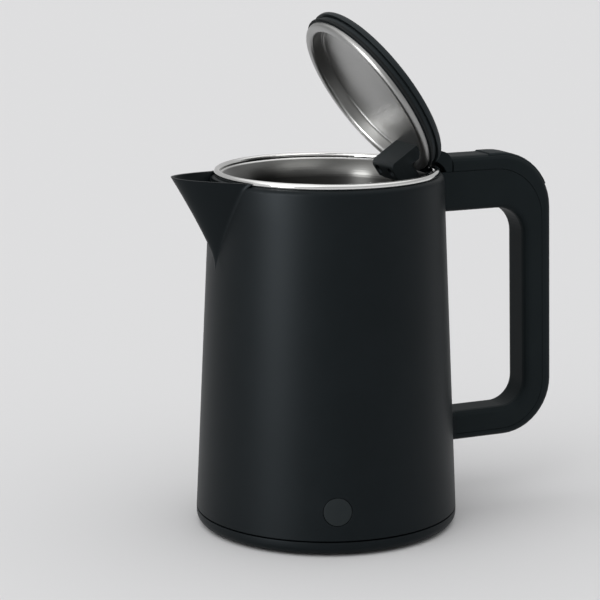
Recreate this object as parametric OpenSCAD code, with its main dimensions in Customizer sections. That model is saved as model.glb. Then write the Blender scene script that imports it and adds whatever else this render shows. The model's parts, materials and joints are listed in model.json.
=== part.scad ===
// Cordless electric kettle, 1.7 litres: a double wall of black plastic over a steel pot, with a V spout,
// a two-part handle and a sprung lid. +X points to the handle, -X to the spout, +Z up, and the origin is the
// middle of the base on the worktop. The lid is drawn open, on its hinge stop.

/* [Body] */
// Height of the middle of the rolled steel rim
rim_z = 213.7; // [212:0.1:216]
// Outer radius of the shell at the base seam
base_r = 79; // [78:0.1:80]
// Outer radius of the shell under its shoulder
neck_r = 69.6; // [69:0.1:70]
// Thickness of the plastic walls
wall = 2.5; // [2.3:0.1:2.7]
// Height of the top edge of the base seam
seam_z = 9.8; // [9.5:0.1:10.2]
// Width of the open seam between shell and base cover
seam_gap = 1; // [0.6:0.1:1.2]

/* [Pot] */
// Inner radius at the throat, which the lid closes
throat_r = 56.4; // [56.2:0.1:56.6]
// Inner radius just above the bottom corner
pot_foot_r = 62.6; // [61:0.1:63]
// Height of the inside of the pot floor
pot_floor_z = 41; // [40.5:0.1:42]
// Sheet thickness of the pot
sheet = 1; // [0.8:0.1:1]

/* [Spout] */
// Distance from the axis to the tip of the spout
spout_reach = 99; // [96:0.5:102]
// Angle between the keel of the spout and the vertical
keel_angle = 29.3; // [28:0.1:31]
// Half of the angle between the two walls of the spout
spout_half_angle = 29; // [27:0.5:31]
// Outer radius of the rounded keel
keel_r = 4.4; // [4:0.1:5]
// Thickness of the spout walls
spout_wall = 2.2; // [2:0.1:2.4]

/* [Handle] */
// Half width of the handle
grip_half = 11.6; // [11:0.1:12]
// Height of the top of the handle
handle_top = 218.6; // [218:0.1:219]
// Height of the underside of the lower arm
handle_bottom = 41.2; // [40:0.1:42]
// Outward lean of the grip
grip_lean = 1.6; // [1.2:0.1:2]
// Rounding of the long edges of the handle
edge_r = 4.5; // [4:0.1:5]

/* [Lid] */
// Angle at which the open lid rests on its stop
lid_open = 56; // [50:1:56]
// Distance of the hinge pin from the kettle's axis
hinge_x = 62.8; // [62.6:0.1:63]
// Outer radius of the lid cover
cover_r = 55.6; // [55:0.1:55.6]
// Outer radius of the steel lip under the lid
lip_r = 53; // [52.5:0.1:53]
// Height of the dome over the edge of the cover
dome = 2.4; // [2:0.1:3]

/* [Controls] */
// Height of the power button
button_z = 27; // [26.5:0.1:27.5]
// Direction of the power button around the kettle's axis
button_azimuth = -110; // [-115:1:-105]
// Radius of the power button
button_r = 8.2; // [8:0.1:8.4]

/* [Hidden] */
$fn = 96;

black = [0.09, 0.10, 0.11];
soft_black = [0.13, 0.14, 0.15];
steel = [0.72, 0.72, 0.70];
brass = [0.80, 0.62, 0.28];

fit = 0.05;          // play between pieces that lie against each other
play = 0.35;         // clearance between pieces that move past each other
shoulder_r = 3.2;
shoulder_z = rim_z - 4.8;
shell_top = shoulder_z + shoulder_r;
bead_r = 2;
bead_at = [65.1, rim_z];
taper = (base_r - neck_r) / (shoulder_z - seam_z);
function shell_r(z) = base_r - (z - seam_z) * taper;

throat_z = rim_z - 11.7;
pot_corner = 9;
pot_foot_z = pot_floor_z + pot_corner;
pot_taper = (pot_foot_r - throat_r) / (throat_z - pot_foot_z);
function pot_r(z) = throat_r + (throat_z - z) * pot_taper;
mouth_rise = rim_z - 0.5 - throat_z;
mouth_flare = 7.4;

lip_z = rim_z - 12;  // plane of the lid's steel lip when the lid is shut
hinge_z = lip_z + 3.35;
barrel_r = 4;
pin_r = 1.5;
arm_half = 13.4;
housing_half = 18.9;
notch_half = housing_half + 0.2;
housing_bottom = 192.3;
shell_notch_z = 198.4;
hook_r = 11.1;
hook_half = 3.6;
cheek_r = 6.2;       // rounding of the housing's ears around the pin
sweep_r = 12.4;      // radius swept by the back of the lid as it opens
arm_depth = 13.4;    // how far the lid's arm reaches under the lip
cover_edge = 2.8;
pan_t = 0.8;
pan_wall_r = 48.8;
pan_depth = 8.4;
tongue_start = 68.6;
tongue_end = 76.2;
tongue_half = 9.3;
tongue_floor = 196;
saddle = [69.5, rim_z + 0.3];
saddle_r = 8.8;

// One D shape is [top, bottom, upper corner radius, lower corner radius, x of the upper corner's middle].
outer_d = [handle_top, handle_bottom, 36.2, 33, 112];
seam_d = [handle_top - 9, handle_bottom + 4.7, 33, 28, 108];
gap_d = [handle_top - 33.6, handle_bottom + 18.3, 18, 15, 111.4];
function inset_d(d, t) = [d[0] - t, d[1] + t, d[2] - t, d[3] - t, d[4]];
function upper_mid(d) = [d[4], d[0] - d[2]];
lean_out = [cos(grip_lean), sin(grip_lean)];
function lower_mid(d) =
    let (z = d[1] + d[3])
    [(upper_mid(d) * lean_out + d[2] - d[3] - z * lean_out[1]) / lean_out[0], z];
grip_start = 83.4;
back_start = saddle[0] + saddle_r + 0.5;
hollow_start = 96;
hollow_half = grip_half - 2.7;

trunnion = [139.3, 195.2];
trunnion_r = 1.6;
strip_half = 9.4;
strip_t = 2.9;
strip_under = handle_top - strip_t;
strip_proud = 0.6;
strip_front_r = 41.7;
strip_press = 5;      // angle the strip turns by when it is pressed
strip_end = 26;      // angle on the upper corner where the strip ends
slider_z = 199.4;
slider_half = 3.5;
slider_end = 111.3;
slider_low = slider_z + 1.3;
ramp_x = 101.9;
function ramp_z(x) = slider_low + x - ramp_x;
post_x = [116.6, 121.4];
post_top = 205.4;

screw_ring = 66;
screw_angles = [60, 180, 300];
stud_ring = 49;
stud_angles = [30, 150, 270];
foot_ring = 64;
foot_angles = [0, 120, 240];
plate_z = 24.4;
plate_t = 1.5;
socket_r = 19.5;
socket_roof = 10;
ring_radii = [8.5, 14];
heater_z = pot_floor_z - sheet - fit;
heater_t = 3;
element_ring = 34;
element_r = 3.6;
element_gap = 20;

window_z = [180, 198];
window_half = [3.4, 8.6];
button_travel = 1.2;
flange_at = 72.4;
flange_t = 1.4;
board_at = 62;
board_t = 1.6;
plunger_end = board_at + board_t + 3.8;

// ---- shared shapes ----

// Outline of a bent sheet of thickness t that lies on the right of the path.
function sheet_outline(path, t) =
    let (n = len(path))
    concat(path, [for (i = [n - 1:-1:0])
        let (a = path[max(i - 1, 0)], b = path[min(i + 1, n - 1)], d = (b - a) / norm(b - a))
        path[i] + t * [d[1], -d[0]]]);

function arc(mid, r, from, to, steps) =
    [for (i = [0:steps]) mid + r * [cos(from + (to - from) * i / steps), sin(from + (to - from) * i / steps)]];

module cone(inset, low, high) {
    translate([0, 0, low])
        cylinder(h = high - low, r1 = shell_r(low) - inset, r2 = shell_r(high) - inset);
}

module pot_cone(grow, low, high) {
    translate([0, 0, low])
        cylinder(h = high - low, r1 = pot_r(low) + grow, r2 = pot_r(high) + grow);
}

module at_angles(angles, ring) {
    for (a = angles) rotate([0, 0, a]) translate([ring, 0, 0]) children();
}

// Turns a drawing in x and z, as seen from the near side, into a slab of the given half width.
module side_slab(half) {
    rotate([90, 0, 0]) translate([0, 0, -half]) linear_extrude(2 * half) children();
}

module cross_pin(at, r, half) {
    translate([at[0], 0, at[1]]) rotate([90, 0, 0]) cylinder(r = r, h = 2 * half, center = true);
}

// Helical wire spring along +Z, from 0 to length.
module coil(r, wire, turns, length, per_turn = 10, sides = 5) {
    steps = turns * per_turn;
    rise = (length - 2 * wire) / steps;
    points = [for (i = [0:steps], k = [0:sides - 1])
        let (a = i * 360 / per_turn, b = k * 360 / sides, out = r + wire * cos(b))
        [out * cos(a), out * sin(a), wire + rise * i + wire * sin(b)]];
    walls = [for (i = [0:steps - 1], k = [0:sides - 1])
        let (m = (k + 1) % sides) [i * sides + k, i * sides + m, (i + 1) * sides + m, (i + 1) * sides + k]];
    near = [[for (k = [sides - 1:-1:0]) k]];
    far = [[for (k = [0:sides - 1]) steps * sides + k]];
    polyhedron(points, concat(walls, near, far), convexity = 10);
}

function bezier(p, t) =
    let (u = 1 - t) u * u * u * p[0] + 3 * u * u * t * p[1] + 3 * u * t * t * p[2] + t * t * t * p[3];

// Round wire that follows a cubic curve.
module wire(p, r, steps = 10, sides = 6) {
    rings = [for (i = [0:steps])
        let (
            at = bezier(p, i / steps),
            way = bezier(p, min(i / steps + 0.01, 1)) - bezier(p, max(i / steps - 0.01, 0)),
            along = way / norm(way),
            flat = cross(along, [0.05, 0.03, 1]),
            side = flat / norm(flat),
            up = cross(side, along)
        )
        [for (k = [0:sides - 1]) at + r * (cos(k * 360 / sides) * side + sin(k * 360 / sides) * up)]];
    points = [for (ring = rings, q = ring) q];
    walls = [for (i = [0:steps - 1], k = [0:sides - 1])
        let (m = (k + 1) % sides) [i * sides + k, (i + 1) * sides + k, (i + 1) * sides + m, i * sides + m]];
    near = [[for (k = [0:sides - 1]) k]];
    far = [[for (k = [sides - 1:-1:0]) steps * sides + k]];
    polyhedron(points, concat(walls, near, far), convexity = 10);
}

module screw(length, r = 1.6, head_r = 3.2, head = 2.3) {
    translate([0, 0, -head]) difference() {
        cylinder(r = head_r, h = head);
        for (a = [0, 90]) rotate([0, 0, a]) translate([-2, -0.4, -1]) cube([4, 0.8, 2]);
    }
    translate([0, 0, -0.5]) cylinder(r = r, h = length + 0.5);
}

// ---- body ----

module shell_solid() {
    rotate_extrude() union() {
        polygon([
            [0, seam_z], [base_r, seam_z], [neck_r, shoulder_z],
            [neck_r - shoulder_r, shell_top], [0, shell_top]
        ]);
        translate([neck_r - shoulder_r, shoulder_z]) circle(shoulder_r);
    }
}

// V-shaped prism along the keel line; r is the radius of its rounded edge.
module keel_prism(r, length) {
    edge = 90 + spout_half_angle;
    far = 60 * [cos(spout_half_angle), sin(spout_half_angle)];
    start = r * [cos(edge), sin(edge)];
    translate([-spout_reach + keel_r, 0, rim_z + 3]) rotate([0, -keel_angle, 0])
        translate([0, 0, -length]) linear_extrude(length + 30)
        polygon(concat(
            arc([0, 0], r, edge, 360 - edge, 8),
            [[start[0] + far[0], -start[1] - far[1]], start + far]
        ));
}

// Everything under the pouring lip, which rises from the rim to the tip.
module under_lip() {
    translate([-neck_r + 1, 0, shell_top - 0.6]) rotate([0, 8, 0])
        translate([-80, -60, -120]) cube([100, 120, 120]);
}

module window_outline(grow) {
    polygon([
        [-window_half[0] - grow, window_z[0] - grow], [window_half[0] + grow, window_z[0] - grow],
        [window_half[1] + grow, window_z[1] + grow], [-window_half[1] - grow, window_z[1] + grow]
    ]);
}

module spout_window(grow, from, to) {
    translate([from, 0, 0]) rotate([90, 0, 90]) linear_extrude(to - from) window_outline(grow);
}

module at_button() {
    rotate([0, 0, button_azimuth]) translate([0, 0, button_z]) rotate([0, 90, 0]) children();
}

module outer_shell() color(black) {
    difference() {
        union() {
            difference() {
                union() {
                    shell_solid();
                    intersection() {
                        keel_prism(keel_r, 90);
                        under_lip();
                        translate([-150, -60, 120]) cube([100, 120, 120]);
                    }
                }
                cone(wall, seam_z - 1, shoulder_z);
                translate([0, 0, shoulder_z - 1]) cylinder(r = 64, h = 20);
                translate([0, 0, shell_top - 1.2]) cylinder(r = neck_r - shoulder_r - 0.1, h = 20);
                difference() {
                    keel_prism(keel_r - spout_wall, 80);
                    cone(0.01, 100, shell_top + 20);
                }
            }
            intersection() {
                lower_stub();
                difference() {
                    translate([50, -20, 30]) cube([40, 40, 40]);
                    cone(wall / 2, 20, 90);
                }
            }
            at_angles(screw_angles, screw_ring) shell_boss();
            intersection() {
                at_button() difference() {
                    translate([0, 0, flange_at + flange_t + 0.4]) cylinder(r = button_r + 2.6, h = 6);
                    cylinder(r = button_r + play, h = 100);
                }
                cone(1, seam_z, 60);
            }
        }
        intersection() {
            spout_window(0, -80, -60);
            cone(-fit, 150, shoulder_z);
        }
        at_button() translate([0, 0, 60]) cylinder(r = button_r + play, h = 40);
        translate([50, -notch_half, shell_notch_z]) cube([30, 2 * notch_half, 30]);
        translate([50, -hook_half - 0.5, hinge_z - hook_r - 0.5]) cube([30, 2 * hook_half + 1, 20]);
        translate([tongue_start - fit, -tongue_half - fit, tongue_floor - fit]) cube([20, 2 * (tongue_half + fit), 10]);
        handle_screw_holes(1.75);
    }
}

module shell_boss() {
    difference() {
        union() {
            translate([0, 0, 13.1]) cylinder(r = 4, h = 15);
            translate([3, -1, 16.4]) cube([7.6, 2, 11.7]);
        }
        translate([0, 0, 13]) cylinder(r = 1.5, h = 12.5);
    }
}

module inner_pot() color(steel) {
    path = concat(
        [[0, pot_floor_z]],
        arc([pot_foot_r - pot_corner, pot_foot_z], pot_corner, -90, 0, 8),
        [for (i = [0:8]) [throat_r + mouth_flare * pow(i / 8, 2), throat_z + mouth_rise * i / 8]]
    );
    difference() {
        union() {
            rotate_extrude() polygon(sheet_outline(path, sheet));
            rotate_extrude() translate(bead_at) circle(bead_r, $fn = 48);
        }
        spout_window(0, -75, -45);
        translate([40, -notch_half, housing_bottom - 0.3]) cube([40, 2 * notch_half, 40]);
    }
}

module rim_gasket() color(soft_black) {
    difference() {
        translate([0, 0, shell_top - 1.15]) cylinder(r = neck_r - shoulder_r - 0.2, h = 0.65);
        translate([0, 0, shell_top - 2]) cylinder(r = 64.1, h = 3);
        translate([40, -notch_half, 190]) cube([40, 2 * notch_half, 40]);
    }
}

module spout_strainer() color(steel) {
    columns = 3;
    difference() {
        intersection() {
            difference() {
                pot_cone(sheet + fit + 0.7, window_z[0] - 3, window_z[1] + 3);
                pot_cone(sheet + fit, window_z[0] - 4, window_z[1] + 4);
            }
            spout_window(2, -75, -45);
        }
        for (row = [0:5], k = [-columns:columns]) {
            z = window_z[0] + 2 + row * 2.6;
            half = window_half[0] + (window_half[1] - window_half[0]) * (row * 2.6 + 2) / 19.5;
            if (abs(k) * 2.8 < half - 1) {
                rotate([0, 0, 180 + k * 2.8]) translate([50, 0, z]) rotate([0, 90, 0]) cylinder(r = 0.9, h = 20, $fn = 24);
            }
        }
    }
}

module spout_seal() color(soft_black) {
    difference() {
        intersection() {
            spout_window(2, -75, -45);
            cone(wall + fit, window_z[0] - 5, window_z[1] + 5);
        }
        spout_window(0, -80, -40);
        pot_cone(sheet + 2 * fit + 0.7, window_z[0] - 6, window_z[1] + 6);
    }
}

// ---- base ----

module base_cover() color(black) {
    foot_r = 5;
    top = seam_z - seam_gap;
    difference() {
        union() {
            difference() {
                rotate_extrude() union() {
                    polygon([[0, 1], [base_r - foot_r, 1], [base_r, 1 + foot_r], [base_r, top], [0, top]]);
                    intersection() {
                        translate([base_r - foot_r, 1 + foot_r]) circle(foot_r);
                        square([base_r, 1 + foot_r]);
                    }
                }
                rotate_extrude() polygon([
                    [0, 3.4], [base_r - 6, 3.4], [base_r - 2.6, 6.8], [base_r - 2.6, 20], [0, 20]
                ]);
            }
            difference() {
                translate([0, 0, 6]) cylinder(r = base_r - wall - 0.65, h = 10);
                translate([0, 0, 5]) cylinder(r = base_r - wall - 2.6, h = 12);
            }
            difference() {
                translate([0, 0, 6]) cylinder(r = base_r - 2, h = 1.6);
                translate([0, 0, 5]) cylinder(r = base_r - wall - 2.6, h = 4);
            }
            at_angles(screw_angles, screw_ring) translate([0, 0, 2]) cylinder(r = 4.6, h = 11);
            for (x = [32, 56], y = [-19, 19]) translate([x, y, 2]) cylinder(r = 2.2, h = 12);
            rotate([0, 0, button_azimuth]) for (y = [-11, 11]) translate([board_at + 2.4, y, 2]) cylinder(r = 1.5, h = 16);
        }
        translate([0, 0, -1]) cylinder(r = 24.6, h = 20);
        at_angles(screw_angles, screw_ring) {
            translate([0, 0, -1]) cylinder(r = 3.6, h = 8.5);
            cylinder(r = 1.9, h = 20);
        }
        at_angles(foot_angles, foot_ring) translate([0, 0, -1]) cylinder(r = 6.6, h = 3.2);
        for (a = [95:12:145]) rotate([0, 0, a]) translate([38, -1, -1]) cube([14, 2, 10]);
    }
}

module rubber_feet() color(soft_black) {
    at_angles(foot_angles, foot_ring) rotate_extrude()
        polygon([[0, 0], [5.6, 0], [6.4, 0.8], [6.4, 2.15], [0, 2.15]]);
}

module base_screws() color(steel) {
    at_angles(screw_angles, screw_ring) translate([0, 0, 7.5]) screw(16, 1.45);
}

module chassis_plate() color(steel) {
    difference() {
        translate([0, 0, plate_z]) cylinder(r = 57, h = plate_t);
        translate([0, 0, 20]) cylinder(r = 14, h = 10);
        at_angles(stud_angles, stud_ring) translate([0, 0, 20]) cylinder(r = 2.2, h = 10);
        translate([28, -18, 20]) cube([40, 36, 10]);
        for (a = [90, 210, 330]) rotate([0, 0, a]) translate([33, 0, 20]) cylinder(r = 6, h = 10);
    }
}

module pot_studs() color(steel) {
    at_angles(stud_angles, stud_ring) {
        translate([0, 0, 20.5]) cylinder(r = 2, h = plate_z + plate_t - 20);
        translate([0, 0, plate_z + plate_t + fit]) cylinder(r = 3.4, h = heater_z - plate_z - plate_t - fit);
    }
}

module stud_nuts() color(brass) {
    at_angles(stud_angles, stud_ring) difference() {
        translate([0, 0, plate_z - 3]) cylinder(r = 4, h = 3 - fit, $fn = 6);
        translate([0, 0, 20]) cylinder(r = 2 + fit, h = 10);
    }
}

module heating_plate() color([0.75, 0.76, 0.78]) {
    difference() {
        translate([0, 0, heater_z - heater_t]) cylinder(r = 44, h = heater_t);
        cylinder(r = 3.2, h = 60);
    }
}

module heating_element() color([0.45, 0.44, 0.42]) {
    under = heater_z - heater_t - fit;
    difference() {
        rotate([0, 0, element_gap]) rotate_extrude(angle = 360 - 2 * element_gap)
            translate([element_ring, under - 2.2]) circle(element_r, $fn = 32);
        translate([0, 0, under]) cylinder(r = 50, h = 10);
    }
    for (a = [element_gap, -element_gap]) rotate([0, 0, a]) translate([element_ring, 0, 0]) {
        translate([0, 0, 28]) cylinder(r = 2.4, h = under - 28.6);
        translate([0, 0, 26]) cylinder(r = 1, h = 3);
    }
}

module thermal_cutouts() color([0.35, 0.20, 0.12]) {
    top = heater_z - heater_t - fit;
    for (y = [-15, 15]) translate([0, y, 0]) {
        translate([0, 0, top - 2]) cylinder(r = 8.4, h = 2);
        translate([0, 0, top - 7]) cylinder(r = 6.5, h = 5.5);
        for (x = [-4, 4]) translate([x - 0.4, -1.5, top - 10]) cube([0.8, 3, 4]);
    }
}

module temperature_probe() color(steel) {
    translate([0, 0, 33]) cylinder(r = 2.8, h = heater_z - 33);
    translate([0, 0, 31]) cylinder(r = 5, h = 2.5);
}

module connector_housing() color(black) {
    difference() {
        union() {
            translate([0, 0, 1.4]) cylinder(r = 24.2, h = 19);
            translate([0, 0, 3.45]) cylinder(r = 29, h = 2);
            for (a = [45:90:315]) rotate([0, 0, a]) translate([20, 0, 20]) cylinder(r = 3, h = plate_z - 20 - fit);
        }
        translate([0, 0, 0]) cylinder(r = socket_r, h = socket_roof);
        for (r = ring_radii) difference() {
            translate([0, 0, 5]) cylinder(r = r + 2, h = socket_roof - 5 + 1.6);
            translate([0, 0, 4]) cylinder(r = r, h = 20);
        }
        translate([0, 0, 5]) cylinder(r = 4.2, h = 15);
    }
}

module contact_rings() color(brass) {
    for (r = ring_radii) difference() {
        translate([0, 0, socket_roof + 0.3]) cylinder(r = r + 2 - fit, h = 1.25);
        translate([0, 0, socket_roof - 1]) cylinder(r = r + fit, h = 5);
    }
}

module earth_contact() color(brass) {
    difference() {
        translate([0, 0, socket_roof]) cylinder(r = 4.2 - fit, h = 9.9);
        translate([0, 0, socket_roof - 1]) cylinder(r = 3.1, h = 20);
    }
}

module control_board() color([0.10, 0.32, 0.20]) {
    translate([29, -22, 14.05]) cube([30, 44, 1.6]);
    for (y = [4, 12]) translate([34, y, 15.65]) cylinder(r = 3, h = 7);
    translate([52, -6, 15.65]) cube([4, 24, 5]);
}

module relay() color([0.12, 0.25, 0.55]) {
    translate([31, -20, 15.7]) cube([15.5, 10, 6.6]);
    translate([48, -20, 15.7]) cube([8, 12, 8.4]);
}

module wiring() color([0.60, 0.12, 0.10]) {
    pin = element_ring * [cos(element_gap), sin(element_gap)];
    for (s = [-1, 1])
        wire([[pin[0], s * pin[1], 25.6], [pin[0] + 2, s * pin[1], 21.5], [48, s * 3, 27], [50, s * 4 - 3, 16]], 0.9);
    wire([[57.8, -18.5, 16.6], [53, -45, 20], [10, -58, 20], [-12.5, -57.4, 21]], 0.9, 14);
}

// ---- power button ----

module button_board() color([0.10, 0.32, 0.20]) {
    rotate([0, 0, button_azimuth]) {
        translate([board_at, -13, 18.05]) cube([board_t, 26, 17]);
        translate([board_at + board_t, -3, button_z - 3]) cube([3.3, 6, 6]);
        translate([plunger_end - 1, 0, button_z]) rotate([0, 90, 0]) cylinder(r = 1.6, h = 1);
        translate([board_at + board_t, 8.5, button_z]) rotate([0, 90, 0]) cylinder(r = 1.5, h = 3);
    }
}

module power_button() color([0.15, 0.17, 0.18]) {
    intersection() {
        at_button() union() {
            translate([0, 0, flange_at]) cylinder(r = button_r, h = 12);
            translate([0, 0, flange_at]) cylinder(r = button_r + 1.4, h = flange_t);
            translate([0, 0, plunger_end + button_travel + 0.1]) cylinder(r = 2.4, h = 8);
        }
        cone(0.15, seam_z, 60);
    }
}

module button_spring() color(steel) {
    at_button() translate([0, 0, board_at + board_t + fit]) rotate([0, 0, 18])
        coil(5, 0.4, 4, flange_at - board_at - board_t - 2 * fit);
}

// ---- handle ----

// Outline of a D shape in x and z, from the given x outward.
function d_outline(d, from, steps = 12) =
    concat(
        [[from, d[1]]],
        arc(lower_mid(d), d[3], -90, grip_lean, steps),
        arc(upper_mid(d), d[2], grip_lean, 90, steps),
        [[from, d[0]]]
    );

module d_area(d, from) {
    polygon(d_outline(d, from));
}

// D-shaped slab, lofted through outlines that shrink by r toward both faces. A negative r flares it instead.
module rounded_slab(d, half, r, from, steps = 4) {
    turn = abs(r);
    side = [for (i = [0:steps]) let (a = 90 * i / steps) [r * (1 - cos(a)), half - turn + turn * sin(a)]];
    rings = concat([for (i = [steps:-1:0]) [side[i][0], -side[i][1]]], side);
    outlines = [for (ring = rings) d_outline(inset_d(d, ring[0]), from)];
    n = len(outlines[0]);
    last = len(rings) - 1;
    points = [for (k = [0:last], p = outlines[k]) [p[0], rings[k][1], p[1]]];
    walls = [for (k = [0:last - 1], i = [0:n - 1])
        let (m = (i + 1) % n) [k * n + i, k * n + m, (k + 1) * n + m, (k + 1) * n + i]];
    near = [[for (i = [n - 1:-1:0]) i]];
    far = [[for (i = [0:n - 1]) last * n + i]];
    polyhedron(points, concat(walls, near, far), convexity = 6);
}

module lower_stub() {
    half = grip_half;
    low = outer_d[1];
    high = gap_d[1];
    corners = [[half, low, 0], [half, high, 90], [-half, high, 180], [-half, low, 270]];
    section = [for (c = corners, p = arc(
        [c[0] - sign(c[0]) * edge_r, c[1] + (c[1] == low ? edge_r : -edge_r)], edge_r, c[2] - 90, c[2], 4)) p];
    translate([60, 0, 0]) rotate([90, 0, 90]) linear_extrude(grip_start - 60) polygon(section);
}

module handle_screw_holes(r) {
    for (y = [-6.5, 6.5]) {
        translate([60, y, 188.8]) rotate([0, 90, 0]) cylinder(r = r, h = 28);
        translate([68, y, 50.4]) rotate([0, 90, 0]) cylinder(r = r, h = 26);
    }
}

// Band that follows the top and the upper corner of the handle, from its front end to the given angle.
module button_band(half, over, under, end, front_r) {
    mid = upper_mid(outer_d);
    intersection() {
        side_slab(half) polygon(concat(
            [[92, handle_top - under], [92, handle_top + over]],
            arc(mid, outer_d[2] + over, 90, end, 12),
            arc(mid, outer_d[2] - under, end, 90, 12)
        ));
        cross_pin(trunnion, front_r, half + 1);
    }
}

module handle_frame() color(black) {
    difference() {
        side_slab(grip_half) d_area(seam_d, 60);
        rounded_slab(gap_d, grip_half + 0.01, -edge_r, 59);
        cone(-fit, 150, 215);
        translate([50, -20, 30]) cube([grip_start + fit - 50, 40, 60]);
        difference() {
            side_slab(hollow_half) difference() {
                d_area(inset_d(seam_d, -1), hollow_start);
                d_area(inset_d(gap_d, -3), hollow_start - 1);
            }
            translate([post_x[0], -5, 180]) cube([post_x[1] - post_x[0], 10, post_top - 180]);
        }
        translate([60, -slider_half - play, slider_z - 0.3])
            cube([hollow_start - 59, 2 * (slider_half + play), 30]);
        translate([60, -tongue_half - fit, tongue_floor - fit])
            cube([tongue_end + fit - 60, 2 * (tongue_half + fit), 30]);
        translate([60, -20, seam_d[0] - fit]) cube([back_start - 60.5, 40, 10]);
        handle_screw_holes(1.62);
    }
}

module handle_back() color(black) {
    difference() {
        rounded_slab(outer_d, grip_half, edge_r, 60);
        side_slab(grip_half + 1) d_area(inset_d(seam_d, -0.25), 59);
        translate([50, -20, 20]) cube([grip_start + fit - 50, 40, 100]);
        translate([50, -20, 150]) cube([saddle[0] - 50, 40, 100]);
        cross_pin(saddle, saddle_r + 0.4, 20);
        translate([50, -20, 150]) cube([back_start - 50, 40, saddle[1] - 150]);
        side_slab(hollow_half) difference() {
            d_area(inset_d(outer_d, 2.8), hollow_start);
            d_area(inset_d(seam_d, 1), hollow_start - 1);
        }
        for (a = [0, strip_press]) translate([trunnion[0], 0, trunnion[1]]) rotate([0, -a, 0])
            translate([-trunnion[0], 0, -trunnion[1]])
            button_band(strip_half + 0.3, 4, 3.5, strip_end - 1.5, strip_front_r + 0.35);
        cross_pin(trunnion, trunnion_r + 0.08, hollow_half + 1.8);
    }
}

module handle_screws() color(steel) {
    for (y = [-6.5, 6.5]) {
        translate([67.4, y, 188.8]) rotate([0, 90, 0]) screw(20, 1.6, 3);
        translate([74, y, 50.4]) rotate([0, 90, 0]) screw(19, 1.6, 3);
    }
}

// ---- lid release ----

module lid_button() color(soft_black) {
    top_d = inset_d(outer_d, -strip_proud);
    intersection() {
        rounded_slab(top_d, strip_half, 1.6, 60);
        button_band(strip_half + 1, 2, strip_t, strip_end, strip_front_r);
    }
    cross_pin(trunnion, trunnion_r + 1.2, hollow_half - 0.4);
    cross_pin(trunnion, trunnion_r, hollow_half + 1.6);
    translate([trunnion[0], 0, trunnion[1]]) rotate([0, -50, 0]) translate([0, -6, -1.2]) cube([4.6, 12, 2.4]);
    finger = [103.4, 105.8];
    tip = ramp_z(finger[1]) + 0.8;
    side_slab(3) polygon([
        [finger[0], tip - 1.2], [finger[1] - 1.2, tip - 1.2], [finger[1], tip],
        [finger[1], strip_under + 0.9], [finger[0], strip_under + 0.9]
    ]);
    translate([(post_x[0] + post_x[1]) / 2, 0, strip_under - 1.5]) cylinder(r = 1.4, h = 2);
}

module lid_button_spring() color(steel) {
    translate([(post_x[0] + post_x[1]) / 2, 0, post_top + fit]) coil(2.2, 0.3, 5, strip_under - 1.6 - post_top);
}

module latch_slider() color([0.80, 0.80, 0.78]) {
    nose = hinge_x + hook_r + 0.35;
    high = slider_z + 4;
    side_slab(slider_half) polygon([
        [nose, slider_z], [slider_end, slider_z], [slider_end, ramp_z(slider_end)],
        [ramp_x, slider_low], [ramp_x - 4.3, slider_low], [ramp_x - 7, high],
        [nose + 5, high], [nose + 3.4, slider_z + 3], [nose, slider_z + 3]
    ]);
}

module latch_spring() color(steel) {
    translate([slider_end + fit, 0, slider_z + 3.2]) rotate([0, 90, 0])
        coil(2.2, 0.3, 3, post_x[0] - slider_end - 2 * fit);
}

// ---- hinge ----

module hinge_housing() color(black) {
    slot_end = hinge_x + barrel_r + 0.4;
    difference() {
        union() {
            intersection() {
                difference() {
                    union() {
                        intersection() {
                            shell_solid();
                            translate([50, -housing_half, shell_notch_z + 0.2]) cube([30, 2 * housing_half, 30]);
                        }
                        intersection() {
                            cone(wall + fit, 180, shoulder_z);
                            translate([50, -housing_half, housing_bottom]) cube([30, 2 * housing_half, 12]);
                        }
                    }
                    pot_cone(sheet, 180, throat_z);
                    translate([0, 0, throat_z - 0.01]) cylinder(r = throat_r + sheet, h = 20);
                }
                union() {
                    translate([50, -30, 180]) cube([30, 60, hinge_z - 4.5 - 180]);
                    translate([hinge_x, -30, 180]) cube([30, 60, 60]);
                    cross_pin([hinge_x, hinge_z], cheek_r, 30);
                }
            }
            translate([tongue_start, -tongue_half, tongue_floor])
                cube([tongue_end - tongue_start, 2 * tongue_half, 14]);
            translate([tongue_start, -grip_half + 0.4, seam_d[0]])
                cube([saddle[0] + saddle_r - tongue_start, 2 * grip_half - 0.8, saddle[1] - seam_d[0]]);
            intersection() {
                cross_pin(saddle, saddle_r, grip_half - 0.4);
                translate([50, -grip_half, seam_d[0]]) cube([40, 2 * grip_half, 20]);
            }
        }
        translate([50, -arm_half - play, housing_bottom + 1.5])
            cube([slot_end - 50, 2 * (arm_half + play), 60]);
        cross_pin([hinge_x, hinge_z], hook_r + 0.45, hook_half + 0.5);
        translate([hinge_x, -slider_half - play, slider_z - 0.3])
            cube([20, 2 * (slider_half + play), 5]);
        difference() {
            cross_pin([hinge_x, hinge_z], sweep_r, 30);
            translate([50, -30, 180]) cube([40, 60, hinge_z + 2.5 - 180]);
            cross_pin([hinge_x, hinge_z], cheek_r, 30);
        }
        translate([50, -30, rim_z + bead_r]) cube([neck_r - shoulder_r + 0.2 - 50, 60, 20]);
        cross_pin([hinge_x, hinge_z], pin_r + 0.02, 17.2);
    }
}

module hinge_pin() color(steel) {
    cross_pin([hinge_x, hinge_z], pin_r, 17);
}

module hinge_spring() color(steel) {
    for (s = [-1, 1]) translate([hinge_x, s * 4.6, hinge_z]) rotate([-s * 90, 0, 0]) coil(2.25, 0.35, 5, 4);
}

// ---- lid, drawn shut and turned to its open stop ----

module at_lid() {
    translate([hinge_x, 0, hinge_z]) rotate([0, lid_open, 0]) translate([-hinge_x, 0, -hinge_z]) children();
}

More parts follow.
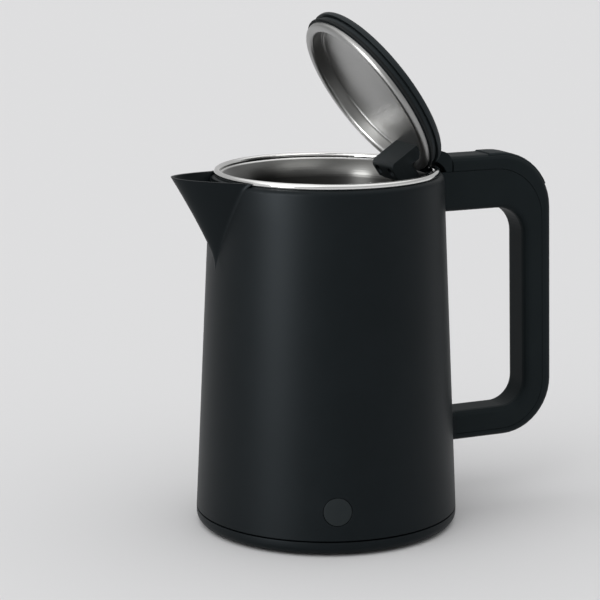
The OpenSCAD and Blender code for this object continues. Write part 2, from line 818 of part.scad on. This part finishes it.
module lid_revolve(points) {
    rotate_extrude() translate([0, lip_z]) polygon(points);
}

function dome_z(r, base) = base + dome * (1 - pow(r / (cover_r - cover_edge), 2));

module lid_cover() color(black) at_lid() {
    mid = [cover_r - cover_edge, 9.2];
    high = mid[1] + cover_edge;
    top = [for (i = [0:6]) let (r = mid[0] * i / 6) [r, dome_z(r, high)]];
    under = [for (i = [6:-1:0]) let (r = (mid[0] - 0.4) * i / 6) [r, dome_z(r, high) - 2]];
    difference() {
        rotate_extrude() translate([0, lip_z]) union() {
            polygon(concat(top, [[cover_r, mid[1]], [cover_r, 8], [cover_r - 2, 8], [cover_r - 2, mid[1]]], under));
            intersection() {
                translate(mid) circle(cover_edge, $fn = 48);
                translate(mid - [0.4, 0]) square([4, 4]);
            }
        }
        translate([38, -6.5, lip_z]) cube([9, 13, 9.4]);
    }
    for (y = [-8, 8]) translate([44, y, lip_z + 9.3]) difference() {
        cylinder(r = 2.6, h = 2);
        translate([0, 0, -1]) cylinder(r = 1.2, h = 2.6);
    }
}

module lid_core() color(black) at_lid() {
    lid_revolve([
        [lip_r - 2.2, 2.8], [lip_r + 1, 2.8], [lip_r + 1, 3.4], [lip_r - 0.4, 3.4], [lip_r - 0.4, 5.4],
        [lip_r + 1, 5.4], [lip_r + 1, 7.4], [lip_r + 0.3, 7.4], [lip_r + 0.3, 9], [lip_r - 1.2, 9], [lip_r - 2.2, 8]
    ]);
}

module lid_seal() color(soft_black) at_lid() {
    lid_revolve([
        [lip_r - 0.35, 3.45], [lip_r + 1.1, 3.45], [lip_r + 2.4, 3.1], [lip_r + 2.5, 3.5],
        [lip_r + 1.5, 4.6], [lip_r + 1.1, 5.35], [lip_r - 0.35, 5.35]
    ]);
}

module lid_pan() color(steel) at_lid() {
    path = concat(
        [[lip_r, 2.6]],
        arc([lip_r - 1.4, 1.4], 1.4, 0, -90, 5),
        arc([pan_wall_r + 1.4, 1.4], 1.4, -90, -180, 5),
        arc([pan_wall_r - 1.2, 7.2], 1.2, 0, 90, 4),
        [[46.6, pan_depth], [46.1, pan_depth - 0.5], [45.6, pan_depth], [0, pan_depth]]
    );
    difference() {
        lid_revolve(sheet_outline(path, -pan_t));
        for (y = [-8, 8]) translate([44, y, lip_z]) cylinder(r = 1.4, h = 20);
    }
}

module lid_arm() color(black) at_lid() {
    front = 38.6;
    depth = lip_z - arm_depth;
    under_pan = lip_z - pan_t - fit;
    nose_r = 3.6;
    difference() {
        union() {
            side_slab(arm_half) union() {
                polygon([
                    [front, under_pan], [front, depth + nose_r], [front + nose_r, depth], [49.5, depth],
                    [53.5, depth + 2.6], [58, hinge_z - 6], [hinge_x, hinge_z - barrel_r], [hinge_x, hinge_z],
                    [hinge_x - barrel_r, hinge_z], [hinge_x - barrel_r, under_pan]
                ]);
                translate([front + nose_r, depth + nose_r]) circle(nose_r, $fn = 48);
            }
            cross_pin([hinge_x, hinge_z], barrel_r, arm_half);
            side_slab(hook_half) polygon([
                [hinge_x, hinge_z - 3.4], [hinge_x + hook_r - 0.3, hinge_z - 2], [hinge_x + hook_r - 0.1, hinge_z],
                [hinge_x + hook_r - 1.4, hinge_z + 1.2], [hinge_x, hinge_z + 3.4]
            ]);
            difference() {
                intersection() {
                    translate([front, -arm_half, under_pan - 2]) cube([12, 2 * arm_half, pan_depth + 2]);
                    cylinder(r = pan_wall_r - pan_t - fit, h = 300);
                }
                translate([0, 0, lip_z + pan_depth - pan_t - fit - 0.5]) difference() {
                    cylinder(r = 47.5, h = 5);
                    translate([0, 0, -1]) cylinder(r = 44.7, h = 7);
                }
            }
        }
        cross_pin([hinge_x, hinge_z], pin_r + 0.06, 30);
        for (s = [-1, 1]) translate([hinge_x, s * 6.6, hinge_z]) rotate([90, 0, 0])
            cylinder(r = 3, h = 4.2, center = true);
        for (y = [-8, 8]) translate([44, y, depth - 1]) {
            cylinder(r = 3, h = 9);
            cylinder(r = 1.5, h = 40);
        }
    }
}

module lid_arm_screws() color(steel) at_lid() {
    for (y = [-8, 8]) translate([44, y, lip_z - arm_depth + 8]) screw(15.8, 1.2, 2.6, 2);
}

outer_shell();
inner_pot();
rim_gasket();
spout_strainer();
spout_seal();
base_cover();
rubber_feet();
base_screws();
chassis_plate();
pot_studs();
stud_nuts();
heating_plate();
heating_element();
thermal_cutouts();
temperature_probe();
connector_housing();
contact_rings();
earth_contact();
control_board();
relay();
wiring();
button_board();
power_button();
button_spring();
handle_frame();
handle_back();
handle_screws();
lid_button();
lid_button_spring();
latch_slider();
latch_spring();
hinge_housing();
hinge_pin();
hinge_spring();
lid_cover();
lid_core();
lid_seal();
lid_pan();
lid_arm();
lid_arm_screws();
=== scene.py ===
import json
import math
import bmesh
import bpy
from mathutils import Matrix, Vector


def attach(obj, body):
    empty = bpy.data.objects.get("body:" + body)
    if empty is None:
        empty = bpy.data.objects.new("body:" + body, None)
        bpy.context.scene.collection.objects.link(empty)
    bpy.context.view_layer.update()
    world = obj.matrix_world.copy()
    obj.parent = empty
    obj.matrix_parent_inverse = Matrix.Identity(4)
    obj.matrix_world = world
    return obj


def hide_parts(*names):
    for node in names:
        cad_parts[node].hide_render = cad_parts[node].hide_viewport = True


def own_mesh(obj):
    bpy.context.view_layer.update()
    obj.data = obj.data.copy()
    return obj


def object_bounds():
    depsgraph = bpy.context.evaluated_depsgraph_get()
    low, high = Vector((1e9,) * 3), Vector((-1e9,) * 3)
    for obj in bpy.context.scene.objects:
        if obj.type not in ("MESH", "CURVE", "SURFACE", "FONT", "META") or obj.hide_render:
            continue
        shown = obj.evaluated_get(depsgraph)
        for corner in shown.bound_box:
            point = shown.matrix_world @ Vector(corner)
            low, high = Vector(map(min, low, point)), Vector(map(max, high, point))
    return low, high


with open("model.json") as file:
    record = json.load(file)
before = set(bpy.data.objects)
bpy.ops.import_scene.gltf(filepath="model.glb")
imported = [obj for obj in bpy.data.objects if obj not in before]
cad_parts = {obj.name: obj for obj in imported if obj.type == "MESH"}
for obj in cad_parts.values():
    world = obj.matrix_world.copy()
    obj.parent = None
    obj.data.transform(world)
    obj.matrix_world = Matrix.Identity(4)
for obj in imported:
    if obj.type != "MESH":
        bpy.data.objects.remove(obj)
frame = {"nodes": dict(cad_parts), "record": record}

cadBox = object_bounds()
nodes = frame["nodes"]
scene = bpy.context.scene
scene.view_settings.view_transform = "Standard"
print("frame loaded,", len(nodes), "nodes")


# ---- camera ----

camera = {
    "place": (-0.5417, -1.1616, 0.4055),
    "heading": 65.71,  # direction that the camera looks in, from +X towards +Y
    "down": 11.9,
    "lens": 131.03,
}


def addCamera(look):
    data = bpy.data.cameras.new("camera")
    data.lens = look["lens"]
    data.sensor_width = 36
    data.clip_end = 100
    eye = bpy.data.objects.new("camera", data)
    scene.collection.objects.link(eye)
    eye.location = look["place"]
    eye.rotation_euler = (math.radians(90 - look["down"]), 0, math.radians(look["heading"] - 90))
    scene.camera = eye


addCamera(camera)
print("camera set")


# ---- shader expressions ----


class Flow:
    # one output socket in a node tree; arithmetic on it adds Math nodes
    def __init__(self, tree, socket=None):
        self.tree = tree
        self.socket = socket

    def node(self, kind, settings=None, inputs=None, out=0):
        made = self.tree.nodes.new(kind)
        for name, value in (settings or {}).items():
            setattr(made, name, value)
        for name, value in (inputs or {}).items():
            if isinstance(value, Flow):
                self.tree.links.new(value.socket, made.inputs[name])
            else:
                made.inputs[name].default_value = value
        return Flow(self.tree, made.outputs[out])

    def math(self, operation, *values):
        return self.node("ShaderNodeMath", {"operation": operation}, dict(enumerate(values)))

    def __add__(self, other):
        return self.math("ADD", self, other)

    def __radd__(self, other):
        return self.math("ADD", other, self)

    def __sub__(self, other):
        return self.math("SUBTRACT", self, other)

    def __rsub__(self, other):
        return self.math("SUBTRACT", other, self)

    def __mul__(self, other):
        return self.math("MULTIPLY", self, other)

    def __rmul__(self, other):
        return self.math("MULTIPLY", other, self)

    def __truediv__(self, other):
        return self.math("DIVIDE", self, other)

    def __rtruediv__(self, other):
        return self.math("DIVIDE", other, self)

    def __pow__(self, other):
        return self.math("POWER", self, other)

    def size(self):
        return self.math("ABSOLUTE", self)

    def step(self, low, high):
        return self.node("ShaderNodeMapRange", {"interpolation_type": "SMOOTHSTEP"},
                         {"Value": self, "From Min": low, "From Max": high})

    def dot(self, way):
        return self.node("ShaderNodeVectorMath", {"operation": "DOT_PRODUCT"}, {0: self, 1: way}, "Value")

    def part(self, axis):
        return self.node("ShaderNodeSeparateXYZ", None, {0: self}, axis)

    def noise(self, scale, detail=2.0, roughness=0.5):
        return self.node("ShaderNodeTexNoise", None,
                         {"Vector": self, "Scale": scale, "Detail": detail, "Roughness": roughness})

    def blend(self, first, second):
        return self.node("ShaderNodeMix", {"data_type": "RGBA"}, {0: self, 6: first, 7: second}, 2)

    def bump(self, strength, depth, over=None):
        inputs = {"Height": self, "Strength": strength, "Distance": depth}
        if over:
            inputs["Normal"] = over
        return self.node("ShaderNodeBump", None, inputs)


def rgba(tone):
    return (*tone, 1)


# ---- studio: a soft room, brighter overhead and towards the spout ----

studio = {
    "sky": 0.52,            # level all round
    "top": 0.64,            # extra level overhead
    "topSpread": (0.45, 0.80),
    "key": 0.80,
    "keyAzimuth": -164,
    "keyElevation": 40,
    "keyHalf": (0.55, 0.45),
    "keyEdge": 0.25,
    "floor": (0.715, 0.715, 0.722),
}


def softbox(way, azimuth, elevation, half, edge):
    a, e = math.radians(azimuth), math.radians(elevation)
    middle = Vector((math.cos(a) * math.cos(e), math.sin(a) * math.cos(e), math.sin(e)))
    side = Vector((-math.sin(a), math.cos(a), 0))
    up = middle.cross(side) * -1
    ahead = way.dot(middle)
    across = (way.dot(side) / ahead).size()
    along = (way.dot(up) / ahead).size()
    return across.step(half[0] + edge, half[0] - edge) * along.step(half[1] + edge, half[1] - edge) * \
        ahead.step(0.0, 0.02)


def addStudio(look):
    world = bpy.data.worlds.new("studio")
    scene.world = world
    world.use_nodes = True
    tree = world.node_tree
    tree.nodes.clear()
    start = Flow(tree)
    way = start.node("ShaderNodeTexCoord", None, None, "Generated")
    level = look["sky"] + way.part("Z").step(*look["topSpread"]) * look["top"]
    key = softbox(way, look["keyAzimuth"], look["keyElevation"], look["keyHalf"], look["keyEdge"])
    level = level + key * look["key"]
    sky = start.node("ShaderNodeBackground", None, {"Color": (1, 1, 1, 1), "Strength": level})
    end = tree.nodes.new("ShaderNodeOutputWorld")
    tree.links.new(sky.socket, end.inputs["Surface"])
    world.cycles.sampling_method = "MANUAL"
    world.cycles.sample_map_resolution = 512


addStudio(studio)

# strip lights that only show as gloss; the room alone lights the colours
strips = {
    "tall": {"azimuth": -160, "height": 0.50, "away": 1.6, "size": (0.60, 1.10), "level": 15.0},
}


def addStrip(name, look):
    data = bpy.data.lights.new(name, "AREA")
    data.shape = "RECTANGLE"
    data.size, data.size_y = look["size"]
    data.energy = look["level"] * math.pi * look["size"][0] * look["size"][1]
    strip = bpy.data.objects.new(name, data)
    scene.collection.objects.link(strip)
    a = math.radians(look["azimuth"])
    strip.location = (look["away"] * math.cos(a), look["away"] * math.sin(a), look["height"])
    strip.rotation_euler = (math.radians(90), 0, a + math.radians(90))
    strip.visible_diffuse = False
    strip.visible_camera = False


for name, look in strips.items():
    addStrip(name, look)


def addFloor(look):
    size = 30
    mesh = bpy.data.meshes.new("floor")
    mesh.from_pydata([(-size, -size, 0), (size, -size, 0), (size, size, 0), (-size, size, 0)], [], [(0, 1, 2, 3)])
    floor = bpy.data.objects.new("floor", mesh)
    scene.collection.objects.link(floor)
    floor.location.z = cadBox[0].z
    made = bpy.data.materials.new("worktop")
    made.use_nodes = True
    shader = made.node_tree.nodes["Principled BSDF"]
    shader.inputs["Base Color"].default_value = rgba(look["floor"])
    shader.inputs["Roughness"].default_value = 0.9
    shader.inputs["Specular IOR Level"].default_value = 0.0
    mesh.materials.append(made)


addFloor(studio)
print("studio lit")


# ---- materials ----

def principled(name, constants):
    made = bpy.data.materials.new(name)
    made.use_nodes = True
    shader = made.node_tree.nodes["Principled BSDF"]
    for key, value in constants.items():
        shader.inputs[key].default_value = value
    return made, shader, Flow(made.node_tree)


def feed(shader, socket, flow):
    flow.tree.links.new(flow.socket, shader.inputs[socket])


# moulded plastic: a fine spark-eroded grain, faint flow clouds and softened edges
def mouldedPlastic(name, look):
    made, shader, start = principled(name, {
        "Metallic": 0, "Specular IOR Level": look["shine"], "Specular Tint": rgba(look.get("tint", (0.84, 0.93, 1))),
    })
    place = start.node("ShaderNodeTexCoord", None, None, "Object")
    clouds = place.noise(38, 3)
    grain = place.noise(look["grain"], 2, 0.6)
    feed(shader, "Base Color", clouds.step(0.3, 0.7).blend(rgba(look["dark"]), rgba(look["light"])))
    feed(shader, "Roughness", look["roughness"] - 0.03 + clouds * 0.03 + grain * 0.04)
    edges = start.node("ShaderNodeBevel", {"samples": 4}, {"Radius": 0.0004})
    feed(shader, "Normal", grain.bump(look["grainBump"], 0.00006, edges))
    return made


# spun or brushed steel; lines run round the given axis of the piece
def brushedSteel(name, look):
    made, shader, start = principled(name, {"Metallic": 1, "Anisotropic": look.get("anisotropic", 0),
                                           "Anisotropic Rotation": look.get("anisotropicTurn", 0)})
    place = start.node("ShaderNodeTexCoord", None, None, "Object")
    if "turn" in look:
        place = start.node("ShaderNodeMapping", {"vector_type": "TEXTURE"},
                           {"Vector": place, "Location": look["middle"], "Rotation": look["turn"]})
    x, y, z = place.part("X"), place.part("Y"), place.part("Z")
    radius = (x * x + y * y) ** 0.5
    lines = start.node("ShaderNodeCombineXYZ", None,
                       {0: radius * look["lines"], 1: z * look["lines"], 2: x * 7 + y * 5})
    brush = lines.noise(1.0, 3, 0.7)
    stain = place.noise(24, 3)
    # base tone: random stains between the look's two tones; for the pot and the lid pan these tones are darkened as
    # painted shade
    bright = stain.step(0.2, 0.8).blend(rgba(look["dark"]), rgba(look["light"]))
    rough = look["roughness"] + brush * 0.1 - 0.05 + stain * 0.06
    depth = look["brushBump"]
    if "rim" in look:
        # the rolled rim is polished and keeps a bright steel tone, next to the pot's steel that is darkened as painted
        # shade
        rim = z.step(look["rim"] - 0.0022, look["rim"] - 0.0012) * radius.step(0.0618, 0.0628)
        rough = rough * (1 - rim) + look["rimRoughness"] * rim
        bright = rim.blend(bright, rgba(look["rimTone"]))
        brush = brush * (1 - rim * 0.8)
    feed(shader, "Base Color", bright)
    feed(shader, "Roughness", rough)
    feed(shader, "Normal", brush.bump(depth, 0.00004))
    return made


def plainMetal(name, look):
    made, shader, start = principled(name, {"Metallic": 1})
    place = start.node("ShaderNodeTexCoord", None, None, "Object")
    stain = place.noise(150, 4)
    feed(shader, "Base Color", stain.step(0.3, 0.75).blend(rgba(look["dark"]), rgba(look["light"])))
    feed(shader, "Roughness", look["roughness"] + stain * 0.2 - 0.1)
    feed(shader, "Normal", place.noise(1800, 2).bump(0.15, 0.00005))
    return made


lidTurn = {"middle": (0.0628, 0, 0.20505), "open": 56}

looks = {
    "shell_black": (mouldedPlastic, {"dark": (0.0052, 0.0074, 0.0084), "light": (0.0060, 0.0084, 0.0096),
                                     "roughness": 0.44, "shine": 0.12, "grain": 1900, "grainBump": 0.25}),
    "handle_black": (mouldedPlastic, {"dark": (0.0105, 0.0140, 0.0152), "light": (0.0116, 0.0154, 0.0168),
                                      "roughness": 0.47, "shine": 0.055, "grain": 1900, "grainBump": 0.25}),
    "strip_black": (mouldedPlastic, {"dark": (0.0150, 0.0196, 0.0212), "light": (0.0164, 0.0214, 0.0232),
                                     "roughness": 0.50, "shine": 0.05, "grain": 2200, "grainBump": 0.15}),
    "lid_black": (mouldedPlastic, {"dark": (0.0118, 0.0156, 0.0170), "light": (0.0130, 0.0172, 0.0188),
                                   "roughness": 0.48, "shine": 0.20, "grain": 1900, "grainBump": 0.25}),
    "button_grey": (mouldedPlastic, {"dark": (0.016, 0.020, 0.021), "light": (0.018, 0.022, 0.023),
                                     "roughness": 0.5, "shine": 0.15, "grain": 2200, "grainBump": 0.15}),
    "inner_black": (mouldedPlastic, {"dark": (0.010, 0.011, 0.012), "light": (0.014, 0.015, 0.016),
                                     "roughness": 0.55, "shine": 0.3, "grain": 1500, "grainBump": 0.3}),
    "rubber": (mouldedPlastic, {"dark": (0.011, 0.012, 0.012), "light": (0.016, 0.017, 0.017),
                                "roughness": 0.75, "shine": 0.2, "grain": 900, "grainBump": 0.3}),
    # painted shade: the pot's steel tones are set far below bare steel to stand for the dark reflections inside the
    # pot
    "pot_steel": (brushedSteel, {"dark": (0.11, 0.11, 0.106), "light": (0.14, 0.14, 0.136), "roughness": 0.30,
                                 "anisotropic": 0.8, "anisotropicTurn": 0.25,
                                 "lines": 1400, "brushBump": 0.25, "rim": 0.2137, "rimRoughness": 0.13,
                                 "rimTone": (0.74, 0.74, 0.73)}),
    # painted shade: the lid pan's steel tones are set below bare steel to stand for the dark reflections on the pan
    "pan_steel": (brushedSteel, {"dark": (0.30, 0.30, 0.295), "light": (0.37, 0.37, 0.365), "roughness": 0.30,
                                 "lines": 1400, "brushBump": 0.2, "middle": lidTurn["middle"],
                                 "turn": (0, math.radians(lidTurn["open"]), 0)}),
    "plate_steel": (plainMetal, {"dark": (0.42, 0.43, 0.44), "light": (0.60, 0.61, 0.62), "roughness": 0.38}),
    "spring_steel": (plainMetal, {"dark": (0.38, 0.38, 0.38), "light": (0.52, 0.52, 0.51), "roughness": 0.3}),
    "heater_aluminium": (plainMetal, {"dark": (0.50, 0.51, 0.52), "light": (0.66, 0.67, 0.68), "roughness": 0.42}),
    "contact_brass": (plainMetal, {"dark": (0.55, 0.38, 0.15), "light": (0.75, 0.56, 0.26), "roughness": 0.3}),
    "board_green": (mouldedPlastic, {"dark": (0.012, 0.075, 0.032), "light": (0.016, 0.10, 0.045), "tint": (1, 1, 1),
                                     "roughness": 0.4, "shine": 0.5, "grain": 700, "grainBump": 0.2}),
    "relay_blue": (mouldedPlastic, {"dark": (0.012, 0.045, 0.20), "light": (0.016, 0.055, 0.25), "tint": (1, 1, 1),
                                    "roughness": 0.4, "shine": 0.5, "grain": 1500, "grainBump": 0.15}),
    "phenolic_brown": (mouldedPlastic, {"dark": (0.05, 0.022, 0.010), "light": (0.08, 0.036, 0.016),
                                        "tint": (1, 1, 1), "roughness": 0.5, "shine": 0.4, "grain": 900,
                                        "grainBump": 0.3}),
    "wire_red": (mouldedPlastic, {"dark": (0.28, 0.012, 0.010), "light": (0.34, 0.018, 0.014), "tint": (1, 1, 1),
                                  "roughness": 0.45, "shine": 0.5, "grain": 1200, "grainBump": 0.15}),
}

made = {slot: build(slot, look) for slot, (build, look) in looks.items()}
slotOf = {row["node"]: row["material_slot"] for row in frame["record"]["subparts"]}
print("materials made,", len(made))


def dress(node):
    piece = nodes[node]
    piece.data.materials.clear()
    piece.data.materials.append(made[slotOf[node]])


for node in nodes:
    dress(node)
print("nodes dressed")


# ---- body and spout: the solid's plain V gives way to a spout that grows softly out of the wall ----

spout = {
    "reach": 99.0, "top": 216.0, "keelAngle": 31.7, "keelBow": 0.00145, "wall": 1.7, "floor": 178.0,
    "footBlend": 1.6, "footSink": 0.7, "footStand": 0.3, "foot": 167.0,
    "noseFoot": 3.0, "noseLip": 11.0, "nosePower": 0.65,
    "filletFoot": 1.5, "filletLip": 6.0, "filletDip": 0.02, "standLip": 29.0,
    "lipBody": 214.0, "lipTip": 215.6, "lipRounds": 8, "low": 157.0, "lastLevel": 213.0, "levels": 40,
    "noseSteps": 14, "filletSteps": 8,
}
shell = {"baseRadius": 79.0, "neckRadius": 69.6, "seam": 9.8, "shoulder": 208.9, "wall": 2.5,
         "rimRise": 5.3, "rimDraw": 2.6}


def bodyRadius(z):
    rise = z - shell["shoulder"]
    if rise < 0:
        return shell["neckRadius"] - rise * (shell["baseRadius"] - shell["neckRadius"]) / \
            (shell["shoulder"] - shell["seam"])
    return shell["neckRadius"] - shell["rimDraw"] * (min(rise, shell["rimRise"]) / shell["rimRise"]) ** 2


def keelStand(z):
    drop = spout["top"] - z
    stand = spout["reach"] - drop * math.tan(math.radians(spout["keelAngle"])) + spout["keelBow"] * drop * drop \
        - bodyRadius(min(z, shell["shoulder"]))
    stand = (stand + math.hypot(stand, 2 * spout["footBlend"])) / 2 - spout["footSink"]
    return stand + bodyRadius(min(z, shell["shoulder"])) - bodyRadius(z)


def arcPoints(middle, radius, start, end, steps):
    turns = [start + (end - start) * i / steps for i in range(steps + 1)]
    return [Vector((middle[0] + radius * math.cos(t), middle[1] + radius * math.sin(t))) for t in turns]


# half of the outline at one height: a parabola from the nose, then a fillet on to the body; millimetres
def spoutSide(z, inset):
    body = bodyRadius(z)
    stand = max(keelStand(z), spout["footStand"])
    shift = Vector((stand - keelStand(z), 0))
    grown = min(stand / spout["standLip"], 1)
    soft = spout["filletFoot"] + (spout["filletLip"] - spout["filletFoot"]) * grown
    share = max(z - spout["foot"], 0) / (spout["lipTip"] - spout["foot"])
    nose = math.hypot(spout["noseFoot"], spout["noseLip"] * share ** spout["nosePower"])
    far = body + soft - spout["filletDip"]

    def at(turn, off):
        slope = math.tan(turn)
        return Vector((-body - stand + nose * slope * slope / 2 - off * math.cos(turn),
                       nose * slope + off * math.sin(turn)))

    low, high = 0.0, math.radians(86)
    for _ in range(40):
        turn = (low + high) / 2
        if at(turn, soft).length > far and at(turn, soft).x < 0:
            low = turn
        else:
            high = turn
    middle = at(low, soft)
    side = [at(low * i / spout["noseSteps"], -inset) for i in range(spout["noseSteps"] + 1)]
    start = math.atan2(-math.sin(low), math.cos(low))
    side += arcPoints(middle, soft + inset, start, math.atan2(-middle.y, -middle.x), spout["filletSteps"])[1:]
    side.append(side[-1] * ((body - shell["wall"] / 2 - inset / 2) / side[-1].length))
    return [p + shift for p in side]


def spoutRing(z):
    outer = spoutSide(z, 0)
    if z < spout["floor"]:
        inner = [p * ((bodyRadius(z) - shell["wall"] + 0.4) / p.length) for p in outer]
    else:
        inner = spoutSide(z, spout["wall"])
    mirror = [Vector((p.x, -p.y)) for p in outer[:0:-1]] + outer
    behind = [Vector((p.x, -p.y)) for p in inner[:0:-1]] + inner
    return mirror + behind[::-1]


def lipHeight(x):
    along = (-x - shell["neckRadius"]) / (spout["reach"] - shell["neckRadius"])
    return spout["lipBody"] + (spout["lipTip"] - spout["lipBody"]) * along


def meshObject(name, points, faces, slot, body="kettle_body"):
    mesh = bpy.data.meshes.new(name)
    mesh.from_pydata([tuple(c * 0.001 for c in p) for p in points], [], faces)
    piece = bpy.data.objects.new(name, mesh)
    scene.collection.objects.link(piece)
    work = bmesh.new()
    work.from_mesh(mesh)
    bmesh.ops.recalc_face_normals(work, faces=work.faces)
    work.to_mesh(mesh)
    work.free()
    if slot:
        mesh.materials.append(made[slot])
        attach(piece, body)
    return piece


def smooth(piece, angle):
    # rounded faces shade smoothly, edges sharper than the angle stay crisp
    mesh = piece.data
    mesh.shade_smooth()
    work = bmesh.new()
    work.from_mesh(mesh)
    for edge in work.edges:
        edge.smooth = len(edge.link_faces) == 2 and edge.calc_face_angle(0) < math.radians(angle)
    work.to_mesh(mesh)
    work.free()


def bridged(rings):
    count, last = len(rings[0]), len(rings) - 1
    points = [p for ring in rings for p in ring]
    faces = [(k * count + i, k * count + (i + 1) % count, (k + 1) * count + (i + 1) % count, (k + 1) * count + i)
             for k in range(last) for i in range(count)]
    return points, faces + [tuple(range(count)), tuple(last * count + i for i in reversed(range(count)))]


def makeSpout():
    count = spout["levels"]
    heights = [spout["low"] + (spout["lastLevel"] - spout["low"]) * i / count for i in range(count + 1)]
    heights = [z for z in heights if abs(z - spout["floor"]) > 0.8]
    heights = sorted(heights + [spout["floor"] - 0.5, spout["floor"] + 0.2])
    rings = [[(p.x, p.y, z) for p in spoutRing(z)] for z in heights]
    # the lip lies in a slanting plane, so each of its points is found in a few rounds
    top = []
    for i in range(len(rings[0])):
        z = spout["lipBody"]
        for _ in range(spout["lipRounds"]):
            p = spoutRing(z)[i]
            z = lipHeight(p.x)
        top.append((p.x, p.y, z))
    rings.append(top)
    points, faces = bridged(rings)
    # the two ends of the band are long thin faces; split them into quads
    half = len(rings[0]) // 2
    faces = faces[:-2]
    for k in (0, len(rings) - 1):
        base = k * len(rings[0])
        faces += [(base + i, base + i + 1, base + 2 * half - 2 - i, base + 2 * half - 1 - i) for i in range(half - 1)]
    smooth(meshObject("spout", points, faces, "shell_black"), 38)


def welded(mesh):
    work = bmesh.new()
    work.from_mesh(mesh)
    bmesh.ops.remove_doubles(work, verts=work.verts, dist=1e-6)
    work.to_mesh(mesh)
    work.free()


def subtract(piece, cutter):
    cut = piece.modifiers.new("cut", "BOOLEAN")
    cut.operation = "DIFFERENCE"
    cut.solver = "EXACT"
    cut.object = cutter
    graph = bpy.context.evaluated_depsgraph_get()
    whole = bpy.data.meshes.new_from_object(piece.evaluated_get(graph))
    piece.modifiers.clear()
    piece.data = whole
    bpy.data.objects.remove(cutter)


plainSpout = {
    "wallAngle": 26.3, "keelAngle": 29.3, "middle": -94.6, "middleHeight": 216.7, "keelRadius": 5.4, "depth": 0.4,
    "low": 167.0, "high": 222.0, "neckLevel": 211.0, "levels": 20, "arcSteps": 8,
}


# everything of the plain V outside the body's wall, a little wider all round
def spoutCutter():
    rings = []
    h = math.radians(plainSpout["wallAngle"])
    along = Vector((math.cos(h), math.sin(h)))
    for i in range(plainSpout["levels"] + 1):
        z = plainSpout["low"] + (plainSpout["high"] - plainSpout["low"]) * i / plainSpout["levels"]
        middle = Vector((plainSpout["middle"] + (plainSpout["middleHeight"] - z) *
                         math.tan(math.radians(plainSpout["keelAngle"])), 0))
        side = arcPoints(middle, plainSpout["keelRadius"], math.pi, math.pi / 2 + h, plainSpout["arcSteps"])
        wall = bodyRadius(min(z, plainSpout["neckLevel"])) - plainSpout["depth"]
        last = side[-1]
        if last.length > wall:
            # run the straight wall on until it meets the body
            reach = last.dot(along)
            side.append(last - along * (reach + math.sqrt(max(reach ** 2 - last.length_squared + wall ** 2, 0))))
        else:
            side.append(last * (wall / last.length))
        end = math.atan2(side[-1].y, side[-1].x)
        side += arcPoints((0, 0), wall, end, math.pi, plainSpout["arcSteps"])[1:]
        ring = side + [Vector((p.x, -p.y)) for p in side[-2:0:-1]]
        rings.append([(p.x, p.y, z) for p in ring])
    return meshObject("spout_cutter", *bridged(rings), None)


def makeBody():
    body = bpy.data.objects.new("body_shell", nodes["outer_shell"].data.copy())
    scene.collection.objects.link(body)
    welded(body.data)
    subtract(body, spoutCutter())
    body.data.materials.clear()
    body.data.materials.append(made["shell_black"])
    smooth(body, 30)
    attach(body, "kettle_body")
    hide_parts("outer_shell")


makeBody()
makeSpout()
print("body and spout made")


# ---- return springs: the solid's springs, copied onto the body ----

turned = math.radians(-110)  # the power button's direction
springs = {
    "power_coil": {"node": "button_spring", "joint": "power_button_press",
                   "axis": (math.cos(turned), math.sin(turned), 0), "anchor": (-0.0221, -0.0608, 0.027), "keep": 0.78},
    "strip_coil": {"node": "lid_button_spring", "joint": "lid_button_press", "axis": (0, 0, 1),
                   "anchor": (0.119, 0, 0.20546), "keep": 0.70},
    "latch_coil": {"node": "latch_spring", "joint": "latch_slide", "axis": (1, 0, 0),
                   "anchor": (0.11654, 0, 0.2026), "keep": 0.53},
}


def makeSpring(name, look):
    source = nodes[look["node"]]
    coil = bpy.data.objects.new(name, source.data.copy())
    scene.collection.objects.link(coil)
    coil.matrix_world = source.matrix_world
    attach(coil, "kettle_body")
    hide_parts(look["node"])
    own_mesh(coil)


for name, look in springs.items():
    makeSpring(name, look)
print("springs made")


# ---- softened edges on the solid's own pieces ----

softened = {
    "lid_arm": 0.0060,
    "handle_frame": 0.0050,
    "base_cover": 0.0006,
    "hinge_housing": 0.0008,
    "power_button": 0.0003,
}


def soften(node, width):
    piece = nodes[node]
    weld = piece.modifiers.new("weld", "WELD")
    weld.merge_threshold = 1e-6
    bevel = piece.modifiers.new("bevel", "BEVEL")
    bevel.use_clamp_overlap = True
    bevel.width = width
    bevel.segments = 4
    bevel.limit_method = "ANGLE"
    bevel.angle_limit = math.radians(35)


for node, width in softened.items():
    soften(node, width)
print("edges softened")
